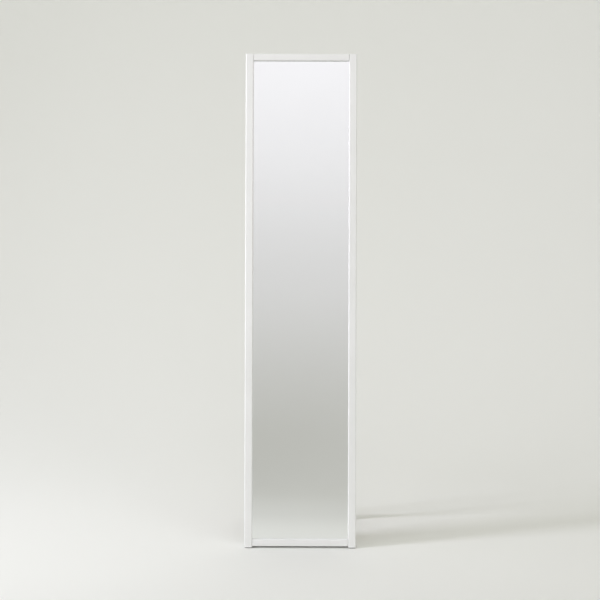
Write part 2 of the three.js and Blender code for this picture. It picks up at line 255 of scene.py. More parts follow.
def rubber_material():
    m, nt, b = new_material("grey_rubber")
    v = object_coords(nt)
    fine = node(nt, "ShaderNodeTexNoise", Scale=1200.0, Detail=3.0)
    nt.links.new(v, fine.inputs["Vector"])
    col = ramp(nt, fine.outputs["Fac"], [(0.3, (0.035, 0.035, 0.037)), (0.7, (0.055, 0.055, 0.058))])
    nt.links.new(col, b.inputs["Base Color"])
    bump = node(nt, "ShaderNodeBump", Strength=0.3, Distance=0.0002)
    nt.links.new(fine.outputs["Fac"], bump.inputs["Height"])
    nt.links.new(bump.outputs["Normal"], b.inputs["Normal"])
    b.inputs["Roughness"].default_value = 0.7
    return m


# the grain runs up the leaning frame, up the legs and along the rails and bars
PAINT = {
    "upright": paint_material("white_satin_paint", turn=-LEAN_DEG),
    "leg": paint_material("white_satin_paint_leg", turn=OPENING_DEG - LEAN_DEG),
    "across": paint_material("white_satin_paint_across", (0.035, 1.0, 1.0)),
}
CROSSWISE = ("rail_top", "rail_bottom", "bead_top", "bead_bottom", "hinge_rail", "crossbar_upper", "crossbar_lower")


def paint_of(node):
    return PAINT["across" if node in CROSSWISE else "leg" if node.startswith("leg_") else "upright"]


MATERIALS = {
    "white_paint": PAINT["upright"],
    "mirror": mirror_material(),
    "hardboard": board_material(),
    "packing_card": card_material(),
    "dowel_wood": beech_material(),
    "zinc_steel": steel_material(),
    "felt": felt_material(),
    "rubber": rubber_material(),
}


def glass_edge_material():
    # the cut edge of the sheet: green, softly ground
    m, nt, b = new_material("ground_glass_edge")
    v = object_coords(nt)
    n = node(nt, "ShaderNodeTexNoise", Scale=900.0, Detail=3.0)
    nt.links.new(v, n.inputs["Vector"])
    col = ramp(nt, n.outputs["Fac"], [(0.3, (0.30, 0.47, 0.42)), (0.7, (0.42, 0.60, 0.54))])
    nt.links.new(col, b.inputs["Base Color"])
    b.inputs["Roughness"].default_value = 0.22
    return m


def glass_back_material():
    # the grey protective coat on the back of the silver
    m, nt, b = new_material("mirror_backing_paint")
    v = object_coords(nt)
    n = node(nt, "ShaderNodeTexNoise", Scale=260.0, Detail=4.0)
    nt.links.new(v, n.inputs["Vector"])
    col = ramp(nt, n.outputs["Fac"], [(0.3, (0.20, 0.21, 0.22)), (0.7, (0.25, 0.26, 0.27))])
    nt.links.new(col, b.inputs["Base Color"])
    b.inputs["Roughness"].default_value = 0.6
    return m


GLASS_EDGE, GLASS_BACK = glass_edge_material(), glass_back_material()
SLOTS = {s["node"]: s["material_slot"] for s in frame["record"]["subparts"]}
BODY_OF = {n: b for b, nodes in frame["record"]["behaviour"]["bodies"].items() for n in nodes}
for name, obj in NODES.items():
    obj.data.materials.clear()
    obj.data.materials.append(MATERIALS[SLOTS[name]])


# ------------------------------------------------------------------ where the pieces lie
# Driving sizes of the frame in millimetres; each piece is modelled in the turned frame it belongs to.
DEPTH, FACE, LENGTH, RECESS = 30.0, 24.0, 1500.0, 8.0
XO, XI, XR = 169.0, 145.0, 150.0
HINGE_Z, KNUCKLE, LEAF_T = 1100.0, 2.75, 1.2
GAP = 0.15
AXIS_Y = DEPTH + GAP + KNUCKLE
LEAN, OPENING = math.radians(LEAN_DEG), math.radians(OPENING_DEG)
DELTA = OPENING - LEAN
FLOOR_CUT = 2.2
LEG_OUT, LEG_W, LEG_T, LEG_TOP = 167.0, 16.0, 16.0, 23.0
LEG_Y0 = DEPTH + 7.0 - AXIS_Y
LEG_YM = LEG_Y0 + LEG_T / 2
AXIS_WZ = -AXIS_Y * math.sin(LEAN) + HINGE_Z * math.cos(LEAN)
AXIS_WY = AXIS_Y * math.cos(LEAN) + HINGE_Z * math.sin(LEAN)


def leg_end(y):
    return (FLOOR_CUT - AXIS_WZ - y * math.sin(DELTA)) / math.cos(DELTA)


def stile_end(y):
    return (FLOOR_CUT + y * math.sin(LEAN)) / math.cos(LEAN)


SHIFT_Y = -(
    AXIS_WY + (LEG_Y0 + LEG_T) * math.cos(DELTA) - leg_end(LEG_Y0 + LEG_T) * math.sin(DELTA)
    + stile_end(0) * math.sin(LEAN)
) / 2
FRAME_M = Matrix.Translation((0, SHIFT_Y, 0)) @ Matrix.Rotation(-LEAN, 4, "X")
STAND_M = FRAME_M @ Matrix.Translation((0, AXIS_Y, HINGE_Z)) @ Matrix.Rotation(OPENING, 4, "X")
ROW_M = Matrix.Identity(4)
# a local frame whose Z runs along the piece: X to Y, Y to Z, Z to X of the frame it sits in
ALONG_X = Matrix(((0, 0, 1, 0), (1, 0, 0, 0), (0, 1, 0, 0), (0, 0, 0, 1)))
MM = 0.001


# ------------------------------------------------------------------ mesh code, in millimetres
def rounded(poly, radii, inset=0.0, seg=5):
    """An outline, counter-clockwise, moved in by inset and with each corner rounded. Always the same number of points."""
    n = len(poly)
    pts = [Vector(p) for p in poly]
    if not isinstance(radii, (list, tuple)):
        radii = [radii] * n
    lines = []
    for i in range(n):
        a, b = pts[i], pts[(i + 1) % n]
        d = (b - a).normalized()
        lines.append((a + Vector((-d.y, d.x)) * inset, d))
    out = []
    for i in range(n):
        (p0, d0), (p1, d1) = lines[i - 1], lines[i]
        cross = d0.x * d1.y - d0.y * d1.x
        t = ((p1.x - p0.x) * d1.y - (p1.y - p0.y) * d1.x) / cross
        corner = p0 + d0 * t
        phi = math.atan2(cross, d0.dot(d1))
        r = max(radii[i] - inset, 0.03) if phi > 0 else radii[i] + inset
        k = r * math.tan(abs(phi) / 2)
        start = corner - d0 * k
        side = 1 if phi > 0 else -1
        centre = start + Vector((-d0.y, d0.x)) * r * side
        v = start - centre
        for j in range(seg + 1):
            a = phi * j / seg
            out.append(centre + Vector((v.x * math.cos(a) - v.y * math.sin(a), v.x * math.sin(a) + v.y * math.cos(a))))
    return out


def loft(stations, close=True):
    """A closed mesh through rings of equal length: [(points as (x, y, z)), ...] from low to high, counter-clockwise seen from above."""
    bm = bmesh.new()
    rings = [[bm.verts.new(p) for p in ring] for ring in stations]
    n = len(rings[0])
    for a, b in zip(rings, rings[1:]):
        for i in range(n):
            j = (i + 1) % n
            bm.faces.new((a[i], a[j], b[j], b[i]))
    if close:
        bm.faces.new(list(reversed(rings[0])))
        bm.faces.new(rings[-1])
    me = bpy.data.meshes.new("m")
    bm.to_mesh(me)
    bm.free()
    return me


def prism(poly, radii, low, high, ease=0.6, seg=5, cap_seg=3):
    """A rounded outline along Z; low and high are heights or functions of the outline's x and y, and ease rounds the end arrises."""
    lo = low if callable(low) else (lambda x, y: low)
    hi = high if callable(high) else (lambda x, y: high)
    stations = []
    for k in range(cap_seg + 1):
        a = math.pi / 2 * k / cap_seg
        ring = rounded(poly, radii, ease * (1 - math.sin(a)), seg)
        stations.append([(p.x, p.y, lo(p.x, p.y) + ease * (1 - math.cos(a))) for p in ring])
    for k in range(cap_seg, -1, -1):
        a = math.pi / 2 * k / cap_seg
        ring = rounded(poly, radii, ease * (1 - math.sin(a)), seg)
        stations.append([(p.x, p.y, hi(p.x, p.y) - ease * (1 - math.cos(a))) for p in ring])
    return loft(stations)


def rect(x0, x1, y0, y1):
    return [(x0, y0), (x1, y0), (x1, y1), (x0, y1)]


def lathe(profile, sides=32):
    """A closed turned solid about Z from (radius, z) points, first and last on the axis, z rising."""
    bm = bmesh.new()
    first = bm.verts.new((0, 0, profile[0][1]))
    last = bm.verts.new((0, 0, profile[-1][1]))
    rings = []
    for r, z in profile[1:-1]:
        rings.append([bm.verts.new((r * math.cos(2 * math.pi * i / sides), r * math.sin(2 * math.pi * i / sides), z)) for i in range(sides)])
    for i in range(sides):
        j = (i + 1) % sides
        bm.faces.new((first, rings[0][j], rings[0][i]))
        for a, b in zip(rings, rings[1:]):
            bm.faces.new((a[i], a[j], b[j], b[i]))
        bm.faces.new((rings[-1][i], rings[-1][j], last))
    me = bpy.data.meshes.new("m")
    bm.to_mesh(me)
    bm.free()
    return me


def moved(me, matrix):
    me.transform(matrix)
    if matrix.determinant() < 0:
        me.flip_normals()
    return me


def merged(meshes):
    bm = bmesh.new()
    for m in meshes:
        bm.from_mesh(m)
    me = bpy.data.meshes.new("m")
    bm.to_mesh(me)
    bm.free()
    for m in meshes:
        bpy.data.meshes.remove(m)
    return me


def boolean(me, other, how):
    """me with other taken away from it, or joined to it."""
    a = bpy.data.objects.new("a", me)
    b = bpy.data.objects.new("b", other)
    for o in (a, b):
        scene.collection.objects.link(o)
    mod = a.modifiers.new("cut", "BOOLEAN")
    mod.object, mod.operation, mod.solver = b, how, "EXACT"
    dg = bpy.context.evaluated_depsgraph_get()
    out = bpy.data.meshes.new_from_object(a.evaluated_get(dg))
    for o in (a, b):
        bpy.data.objects.remove(o)
    bpy.data.meshes.remove(me)
    bpy.data.meshes.remove(other)
    return out


def carve(me, cutters):
    return boolean(me, merged(cutters), "DIFFERENCE")


def unite(meshes):
    out = meshes[0]
    for m in meshes[1:]:
        out = boolean(out, m, "UNION")
    return out


def piece(node, me, matrix, material=None, angle=32.0, bevelled=True):
    """Puts a refined piece in the place of the CAD node of that name, at its place in the frame."""
    slot = SLOTS[node]
    bm = bmesh.new()
    bm.from_mesh(me)
    bmesh.ops.remove_doubles(bm, verts=bm.verts, dist=0.002)
    bmesh.ops.dissolve_degenerate(bm, edges=bm.edges, dist=0.001)
    bmesh.ops.recalc_face_normals(bm, faces=bm.faces)
    bmesh.ops.scale(bm, vec=(MM, MM, MM), verts=bm.verts)
    bm.to_mesh(me)
    bm.free()
    me.name = node + "_finished"
    for p in me.polygons:
        p.use_smooth = True
    me.set_sharp_from_angle(angle=math.radians(angle))
    m = matrix.copy()
    m.translation *= MM
    me.transform(m)
    o = bpy.data.objects.new(node + "_finished", me)
    scene.collection.objects.link(o)
    me.materials.clear()
    for mat in material or [paint_of(node) if slot == "white_paint" else MATERIALS[slot]]:
        me.materials.append(mat)
    if bevelled:
        w = o.modifiers.new("even shading", "WEIGHTED_NORMAL")
        w.keep_sharp = True
        w.weight = 80
    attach(o, BODY_OF[node])
    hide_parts(node)
    return o


def box_mesh(x0, x1, y0, y1, z0, z1):
    return loft([[(x, y, z) for x, y in rect(x0, x1, y0, y1)] for z in (z0, z1)])


def turned_x(me, x, y, z):
    return moved(me, Matrix.Translation((x, y, z)) @ Matrix.Rotation(math.pi / 2, 4, "Y"))


# ------------------------------------------------------------------ screws
def screw_hole(length, r, head, grow=0.12):
    prof = [(0, -length - grow), (r * 0.5, -length - grow), (r + grow, -length + 3), (r + grow, -head - 0.1), (head + grow, -0.25), (head + grow, 1.5), (0, 1.5)]
    return lathe(prof, 32)


def screw_mesh(length, r, head, pitch):
    """A countersunk wood screw about Z, its head flush at 0 and its point at -length, with a cross recess and a thread."""
    sides, per_turn = 24, 6
    core = r * 0.68
    bm = bmesh.new()
    rows = []
    z_head = -(head - core)
    thread_top, tip = z_head - 1.6, -length
    zs = [tip + 0.02]
    step = pitch / per_turn
    z = tip + 0.25
    while z < thread_top:
        zs.append(z)
        z += step
    zs += [thread_top + 0.1, z_head]
    for z in zs:
        row = []
        for i in range(sides):
            t = i / sides
            ph = ((z / pitch) - t) % 1.0
            ridge = max(0.0, 1 - abs(ph - 0.5) * 4.0)
            taper = min(1.0, max(0.04, (z - tip) / 3.2))
            edge = min(1.0, max(0.0, (thread_top - z) / 0.8))
            rad = (core + (r - core) * ridge * edge) * taper if z < z_head - 0.01 else core
            row.append(bm.verts.new((rad * math.cos(2 * math.pi * t), rad * math.sin(2 * math.pi * t), z)))
        rows.append(row)
    for rad, z in ((head - 0.12, -0.22), (head, -0.12), (head - 0.06, -0.02), (head - 0.3, 0.0)):
        rows.append([bm.verts.new((rad * math.cos(2 * math.pi * i / sides), rad * math.sin(2 * math.pi * i / sides), z)) for i in range(sides)])
    for a, b in zip(rows, rows[1:]):
        for i in range(sides):
            j = (i + 1) % sides
            bm.faces.new((a[i], a[j], b[j], b[i]))
    bm.faces.new(list(reversed(rows[0])))
    bm.faces.new(rows[-1])
    me = bpy.data.meshes.new("m")
    bm.to_mesh(me)
    bm.free()
    w, deep = head * 0.58, head * 0.52

    def cross(a, b, z):
        return [(p[0], p[1], z) for p in ((-b, -a), (b, -a), (b, -b), (a, -b), (a, b), (b, b), (b, a), (-b, a), (-b, b), (-a, b), (-a, -b), (-b, -b))]

    recess = loft([cross(0.12 * head, 0.05 * head, -deep), cross(w * 0.72, 0.13 * head, -deep * 0.45), cross(w, 0.17 * head, 0.3)])
    return boolean(me, recess, "DIFFERENCE")


def put_screw(node, size, body_m, x, y, z, down, turn, pitch):
    length, r, head = size
    to = Matrix.Translation((x, y, z))
    if not down:
        to = to @ Matrix.Rotation(-math.pi / 2, 4, "X")  # the head looks towards +Y
    m = body_m @ to @ Matrix.Rotation(math.radians(turn), 4, "Z")
    return piece(node, screw_mesh(length, r, head, pitch), m, angle=40)


def hole_at(size, x, y, z, down):
    to = Matrix.Translation((x, y, z))
    if not down:
        to = to @ Matrix.Rotation(-math.pi / 2, 4, "X")
    return moved(screw_hole(*size), to)


# ------------------------------------------------------------------ frame
RAIL_SCREW, LEAF_SCREW_A, LEAF_SCREW_B = (20.0, 1.7, 3.3), (10.8, 1.5, 2.9), (15.0, 1.5, 2.9)
HR0, HR1 = HINGE_Z - 15.0, HINGE_Z + 25.0
RAIL_SCREW_X = XR + 5
RAIL_SCREW_Z = (HINGE_Z - 6, HINGE_Z + 12)
BOT0, BOT1, TOP0, TOP1 = 6.4, 27.4, 1478.6, 1499.6
DOWELS = [(y, z) for z in (BOT0 + 8, TOP1 - 8) for y in (13.5, 23.5)]
DOWEL_X0, DOWEL_X1 = XI - 17, XI + 13
DOWEL_R = 3.0
BACK = RECESS + 7.6          # where the beads and the hinge rail lie on the board


def peg_hole(x0, x1, y, z):
    n = x1 - x0
    return turned_x(lathe([(0, 0), (DOWEL_R + 0.15, 0), (DOWEL_R + 0.15, n), (0, n)], 32), x0, y, z)


def stile(side, s):
    # an L section: the full face in front, the rebate for the glass behind it
    sec = [(XI, 0), (XO, 0), (XO, DEPTH), (XR, DEPTH), (XR, RECESS), (XI, RECESS)]
    rad = [3.4, 3.2, 2.0, 0.5, 0.25, 0.5]
    me = prism(sec, rad, lambda x, y: stile_end(y), LENGTH, ease=1.2, seg=6, cap_seg=4)
    cut = [peg_hole(XI - 2, DOWEL_X1 + 0.2, y, z) for y, z in DOWELS]
    cut.append(box_mesh(XR - 2, XR + 10.15, DEPTH - 6.15, DEPTH + 2, HR0 - GAP, HR1 + GAP))
    me = carve(me, cut)
    me = carve(me, [hole_at(RAIL_SCREW, RAIL_SCREW_X, DEPTH - 0.1, z, False) for z in RAIL_SCREW_Z])
    if s < 0:
        moved(me, Matrix.Scale(-1, 4, (1, 0, 0)))
    piece("stile_" + side, me, FRAME_M)


def rail(name, z0, z1, lip_low):
    # across, with the lip in front of the glass on the side of the opening; local x is depth, y height, z along
    r0, r1 = (z0 + 5, z1) if lip_low else (z0, z1 - 5)
    x1, x2 = XI - GAP, XR - GAP
    if lip_low:
        front = [(0, z0), (RECESS, z0), (RECESS, r0), (DEPTH, r0), (DEPTH, z1), (0, z1)]
        rad = [3.0, 0.5, 0.25, 0.5, 1.4, 2.2]
    else:
        front = [(0, z0), (DEPTH, z0), (DEPTH, r1), (RECESS, r1), (RECESS, z1), (0, z1)]
        rad = [1.8, 1.4, 0.5, 0.25, 0.5, 3.0]
    body = prism(front, rad, -x1, x1, ease=0.45, seg=6, cap_seg=3)
    tongue = prism(rect(RECESS + GAP, DEPTH, r0, r1), [0.05, 1.2 if not lip_low else 0.5, 1.2 if lip_low else 0.5, 0.05], -x2, x2, ease=0.3, seg=6, cap_seg=2)
    me = boolean(body, tongue, "UNION")
    cut = []
    for y, z in DOWELS:
        if z0 < z < z1:
            for a, b in ((DOWEL_X0 - 0.2, x2 + 2), (-x2 - 2, -DOWEL_X0 + 0.2)):
                n = b - a
                cut.append(moved(lathe([(0, 0), (DOWEL_R + 0.15, 0), (DOWEL_R + 0.15, n), (0, n)], 32), Matrix.Translation((y, z, a))))
    piece(name, carve(me, cut), FRAME_M @ ALONG_X)


def dowel(node, body_m, x0, x1, y, z):
    # a fluted beech peg with chamfered ends
    sides, flutes = 48, 12
    n = x1 - x0
    st = []
    for t, k in ((0.0, 0.62), (0.15, 0.80), (1.2, 1.0), (n - 1.2, 1.0), (n - 0.15, 0.80), (n, 0.62)):
        ring = []
        for i in range(sides):
            a = 2 * math.pi * i / sides
            r = DOWEL_R * k * (1 - 0.045 * (0.5 + 0.5 * math.cos(a * flutes)))
            ring.append((r * math.cos(a), r * math.sin(a), t))
        st.append(ring)
    piece(node, loft(st), body_m @ Matrix.Translation((x0, y, z)) @ Matrix.Rotation(math.pi / 2, 4, "Y"), angle=50)


def bead(node, s, z0, z1):
    # a planted strip with a bevelled inner edge
    bx = XR - GAP
    back = BACK
    sec = [(bx, back), (bx, back + 8), (bx - 4, back + 8), (bx - 7, back + 4), (bx - 7, back)]
    rad = [0.3, 0.7, 0.9, 0.9, 0.3]
    me = prism(sec, rad, z0, z1, ease=0.35, seg=4, cap_seg=2)
    if s < 0:
        moved(me, Matrix.Scale(-1, 4, (1, 0, 0)))
    piece(node, me, FRAME_M)


def cross_bead(node, sec, rad):
    bxi = XR - GAP - 7.2
    piece(node, prism(sec, rad, -bxi, bxi, ease=0.35, seg=4, cap_seg=2), FRAME_M @ ALONG_X)


PX, PZ0, PZ1 = XR - 0.4, BOT1 - 4.7, TOP0 + 4.7


def sheet(node, inset, y0, thick, ease, material=None):
    # an upright sheet, its local Z through its thickness; local x across, y up
    m = FRAME_M @ Matrix.Translation((0, y0 + thick, 0)) @ Matrix.Rotation(math.pi / 2, 4, "X")
    poly = rect(-PX + inset, PX - inset, PZ0 + inset, PZ1 - inset)
    return piece(node, prism(poly, 1.0, 0.0, thick, ease=ease, seg=3, cap_seg=2), m, material)


def hinge_rail():
    # let into the stiles with a tongue at each end; local x is depth, y height, z along
    bx, tongue = XR - GAP, XR + 10
    body = prism(rect(BACK, DEPTH, HR0, HR1), [0.4, 1.0, 1.0, 0.4], -bx, bx, ease=0.25, seg=5, cap_seg=2)
    ends = prism(rect(DEPTH - 6, DEPTH, HR0, HR1), [0.1, 1.0, 1.0, 0.1], -tongue, tongue, ease=0.25, seg=5, cap_seg=2)
    me = boolean(body, ends, "UNION")
    back = ALONG_X.inverted()
    cut = [moved(hole_at(RAIL_SCREW, s * RAIL_SCREW_X, DEPTH - 0.1, z, False), back) for s in (-1, 1) for z in RAIL_SCREW_Z]
    cut += [moved(hole_at(LEAF_SCREW_A, x, FACE_A, HINGE_Z + 13, False), back) for x in LEAF_SCREW_X]
    piece("hinge_rail", carve(me, cut), FRAME_M @ ALONG_X)


FACE_A = AXIS_Y - KNUCKLE + LEAF_T - 0.1
FACE_B = -KNUCKLE + LEAF_T - 0.1
LEAF_SCREW_X = [s * 88.0 + o for s in (-1, 1) for o in (-17, 17)]


# ------------------------------------------------------------------ hinges
def curl(tall, x0, x1):
    """A rolled knuckle and the start of its leaf, along X: the leaf stands up from the knuckle's back. Local y, z from the pin."""
    out_r, in_r = KNUCKLE, KNUCKLE - LEAF_T
    ring = [(-out_r, tall)] + [
        (out_r * math.cos(math.radians(a)), out_r * math.sin(math.radians(a))) for a in range(180, 481, 10)
    ] + [
        (in_r * math.cos(math.radians(a)), in_r * math.sin(math.radians(a))) for a in range(480, 179, -10)
    ] + [(-in_r, tall)]
    st = []
    for x in (x0, x1):
        st.append([(x, y, z) for y, z in ring])
    return loft(st)


def leaf(node, body_m, centre, tall, knuckles, screw, screw_up, face, swap):
    """A hinge leaf. In its own frame the plate stands up along z and is LEAF_T thick in y; swap lays it back along y."""
    half = 25.0
    y0 = -KNUCKLE
    low = KNUCKLE + 0.35
    # the plate, with rounded outer corners; built flat in x, z and given its thickness along y
    plate = prism(rect(-half, half, low, tall), [0.2, 0.2, 3.0, 3.0], 0.0, LEAF_T, ease=0.2, seg=6, cap_seg=2)
    moved(plate, Matrix(((1, 0, 0, 0), (0, 0, -1, y0 + LEAF_T), (0, 1, 0, 0), (0, 0, 0, 1))))
    parts = [plate] + [curl(low + 1.0, a, b) for a, b in knuckles]
    me = unite(parts)
    if swap:
        moved(me, Matrix(((1, 0, 0, 0), (0, 0, 1, 0), (0, 1, 0, 0), (0, 0, 0, 1))))
    holes = []
    for o in (-17, 17):
        h = screw_hole(*screw, grow=0.2)
        if swap:
            moved(h, Matrix.Translation((o, screw_up, face)))
        else:
            moved(h, Matrix.Translation((o, face, screw_up)) @ Matrix.Rotation(-math.pi / 2, 4, "X"))
        holes.append(h)
    me = carve(me, holes)
    moved(me, Matrix.Translation((centre, 0, 0)))
    piece(node, me, body_m, angle=28)


def pin(node, body_m, centre):
    h = 25.0
    prof = [(0, -h - 1.3), (1.2, -h - 1.25), (1.75, -h - 1.05), (2.0, -h - 0.7), (2.0, -h - 0.25), (1.2, -h - 0.2), (1.2, h + 0.2), (2.0, h + 0.25), (2.0, h + 0.7), (1.75, h + 1.05), (1.2, h + 1.25), (0, h + 1.3)]
    piece(node, lathe(prof, 32), body_m @ Matrix.Translation((centre, 0, 0)) @ Matrix.Rotation(math.pi / 2, 4, "Y"), angle=45)


# ------------------------------------------------------------------ stand
LEG_IN = LEG_OUT - LEG_W
BAR_END = LEG_IN - GAP
UPPER1 = -KNUCKLE - GAP
UPPER0 = UPPER1 - 30
LOWER0 = leg_end(LEG_YM) + (76.0 - FLOOR_CUT) / math.cos(DELTA)
LOWER1 = LOWER0 + 25
STAND_DOWELS = [UPPER1 - 8.5, UPPER0 + 8, LOWER1 - 6.5, LOWER0 + 6.5]
SD0, SD1 = LEG_IN - 14, LEG_IN + 11


def leg(side, s):
    me = prism(rect(LEG_IN, LEG_OUT, LEG_Y0, LEG_Y0 + LEG_T), 2.2, lambda x, y: leg_end(y), LEG_TOP, ease=1.4, seg=6, cap_seg=4)
    me = carve(me, [peg_hole(LEG_IN - 2, SD1 + 0.2, LEG_YM, z) for z in STAND_DOWELS])
    if s < 0:
        moved(me, Matrix.Scale(-1, 4, (1, 0, 0)))
    piece("leg_" + side, me, STAND_M)


def crossbar(name, z0, z1, screws):
    me = prism(rect(LEG_Y0, LEG_Y0 + LEG_T, z0, z1), 1.8, -BAR_END, BAR_END, ease=0.4, seg=6, cap_seg=3)
    cut = []
    for z in STAND_DOWELS:
        if z0 < z < z1:
            for a, b in ((SD0 - 0.2, BAR_END + 2), (-BAR_END - 2, -SD0 + 0.2)):
                n = b - a
                cut.append(moved(lathe([(0, 0), (DOWEL_R + 0.15, 0), (DOWEL_R + 0.15, n), (0, n)], 32), Matrix.Translation((LEG_YM, z, a))))
    me = carve(me, cut)
    if screws:
        back = ALONG_X.inverted()
        me = carve(me, [moved(hole_at(LEAF_SCREW_B, x, LEG_YM, FACE_B, True), back) for x in LEAF_SCREW_X])
    piece(name, me, STAND_M @ ALONG_X)


# ------------------------------------------------------------------ pads
def pad(node, body_m, x0, x1, y0, y1, z0, z1, corner, ease):
    cx, cy = (x0 + x1) / 2, (y0 + y1) / 2
    poly = rect(x0 - cx, x1 - cx, y0 - cy, y1 - cy)
    piece(node, prism(poly, corner, 0.0, z1 - z0, ease=ease, seg=6, cap_seg=4), body_m @ Matrix.Translation((cx, cy, z0)), angle=60)


# ------------------------------------------------------------------ build everything
for side, s in (("left", -1), ("right", 1)):
    stile(side, s)
rail("rail_top", TOP0, TOP1, True)
rail("rail_bottom", BOT0, BOT1, False)
n = 0
for y, z in DOWELS:
    for s in (-1, 1):
        n += 1
        a, b = (DOWEL_X0, DOWEL_X1) if s > 0 else (-DOWEL_X1, -DOWEL_X0)
        dowel("frame_dowel_%d" % n, FRAME_M, a, b, y, z)

glass = sheet("mirror_glass", 0.0, RECESS + GAP, 3.0, 0.5, [MATERIALS["mirror"], GLASS_EDGE, GLASS_BACK])
for p in glass.data.polygons:
    facing = -p.normal.y * math.cos(LEAN) + p.normal.z * math.sin(LEAN)
    p.material_index = 0 if facing > 0.99 else (2 if facing < -0.99 else 1)
sheet("packing_sheet", 2.0, RECESS + 3.3, 1.5, 0.1)
sheet("backing_board", 0.0, RECESS + 4.95, 2.5, 0.3)
for side, s in (("left", -1), ("right", 1)):
    bead("bead_%s_lower" % side, s, PZ0, HR0 - 0.2)
    bead("bead_%s_upper" % side, s, HR1 + 0.2, PZ1)
cross_bead("bead_top", [(BACK, PZ1 - 7), (BACK + 4, PZ1 - 7), (BACK + 8, PZ1 - 4), (BACK + 8, PZ1), (BACK, PZ1)], [0.3, 0.9, 0.9, 0.7, 0.3])
cross_bead("bead_bottom", [(BACK, PZ0), (BACK + 8, PZ0), (BACK + 8, PZ0 + 4), (BACK + 4, PZ0 + 7), (BACK, PZ0 + 7)], [0.3, 0.7, 0.9, 0.9, 0.3])

hinge_rail()
turns = (20, 64, 105, 158)
n = 0
for s in (-1, 1):
    for z in RAIL_SCREW_Z:
        n += 1
        put_screw("hinge_rail_screw_%d" % n, RAIL_SCREW, FRAME_M, s * RAIL_SCREW_X, DEPTH - 0.1, z, False, turns[n - 1], 1.8)
HINGE_M = FRAME_M @ Matrix.Translation((0, AXIS_Y, HINGE_Z))
n = 0
for side, s in (("left", -1), ("right", 1)):
    c = s * 88.0
    leaf("hinge_%s_frame_leaf" % side, HINGE_M, c, 20.0, ((-25, -9.15), (9.15, 25)), LEAF_SCREW_A, 13.0, FACE_A - AXIS_Y, False)
    leaf("hinge_%s_stand_leaf" % side, STAND_M, c, 18.0, ((-8.85, 8.85),), LEAF_SCREW_B, LEG_YM, FACE_B, True)
    pin("hinge_%s_pin" % side, HINGE_M, c)
    for o in (-17, 17):
        n += 1
        put_screw("frame_leaf_screw_%d" % n, LEAF_SCREW_A, FRAME_M, c + o, FACE_A, HINGE_Z + 13, False, turns[(n * 3) % 4] + 11, 1.4)
        put_screw("stand_leaf_screw_%d" % n, LEAF_SCREW_B, STAND_M, c + o, LEG_YM, FACE_B, True, turns[(n * 5) % 4] + 31, 1.4)

for side, s in (("left", -1), ("right", 1)):
    leg(side, s)
crossbar("crossbar_upper", UPPER0, UPPER1, True)
crossbar("crossbar_lower", LOWER0, LOWER1, False)
n = 0
for z in STAND_DOWELS:
    for s in (-1, 1):
        n += 1
        a, b = (SD0, SD1) if s > 0 else (-SD1, -SD0)
        dowel("stand_dowel_%d" % n, STAND_M, a, b, LEG_YM, z)

yf = AXIS_WY + LEG_YM * math.cos(DELTA) - leg_end(LEG_YM) * math.sin(DELTA) + SHIFT_Y
for side, s in (("left", -1), ("right", 1)):
    def sx(a, b):
        return (a, b) if s > 0 else (-b, -a)
    pad("foot_pad_front_" + side, ROW_M, *sx(XI + 2, XO - 2), 3 + SHIFT_Y, DEPTH - 3 + SHIFT_Y, 0, 2.0, 2.5, 0.5)
    pad("foot_pad_rear_" + side, ROW_M, *sx(LEG_IN + 2, LEG_OUT - 2), yf - 6.5, yf + 6.5, 0, 2.0, 2.5, 0.5)
    # stop pads lie flat on the back of the stiles
    x0, x1 = sx(XR + 1.5, XR + 13)
    cx, cz = (x0 + x1) / 2, HINGE_Z + 25
    m = FRAME_M @ Matrix.Translation((cx, DEPTH + 0.1, cz)) @ Matrix.Rotation(-math.pi / 2, 4, "X")
    piece("stop_pad_" + side, prism(rect(-(x1 - x0) / 2, (x1 - x0) / 2, -6, 6), 2.6, 0.0, 1.65, ease=0.55, seg=6, cap_seg=5), m, angle=60)


# ------------------------------------------------------------------ stage
# One seamless bowl: a flat round floor that curves up all round into a plain wall, open above.
BOWL_Y = -1.0       # its centre lies in front of the mirror
FLOOR_R = 1.85
COVE_R = 2.4
WALL_TOP = 3.6
SEGMENTS = 128


def bowl():
    prof = [(FLOOR_R * i / 12, 0.0) for i in range(1, 13)]
    prof += [
        (FLOOR_R + COVE_R * math.sin(a), COVE_R - COVE_R * math.cos(a))
        for a in (math.pi / 2 * i / 40 for i in range(1, 41))
    ]
    prof += [(FLOOR_R + COVE_R, z) for z in (2.7, 3.0, 3.3, WALL_TOP)]
    verts = [(0.0, BOWL_Y, 0.0)]
    for r, z in prof:
        for k in range(SEGMENTS):
            t = 2 * math.pi * k / SEGMENTS
            verts.append((r * math.sin(t), BOWL_Y + r * math.cos(t), z))
    faces = []
    for k in range(SEGMENTS):
        j = (k + 1) % SEGMENTS
        faces.append((0, 1 + j, 1 + k))
        for i in range(len(prof) - 1):
            p, q = 1 + i * SEGMENTS, 1 + (i + 1) * SEGMENTS
            faces.append((p + k, p + j, q + j, q + k))
    me = bpy.data.meshes.new("studio_bowl")
    me.from_pydata(verts, [], faces)
    me.validate()
    for p in me.polygons:
        p.use_smooth = True
    o = bpy.data.objects.new("studio_bowl", me)
    scene.collection.objects.link(o)
    return o


def smooth_step(nt, value, lo, hi, out_lo=0.0, out_hi=1.0):
    n = nt.nodes.new("ShaderNodeMapRange")
    n.interpolation_type = "SMOOTHSTEP"
    n.inputs["From Min"].default_value = lo
    n.inputs["From Max"].default_value = hi
    n.inputs["To Min"].default_value = out_lo
    n.inputs["To Max"].default_value = out_hi
    nt.links.new(value, n.inputs["Value"])
    return n.outputs["Result"]


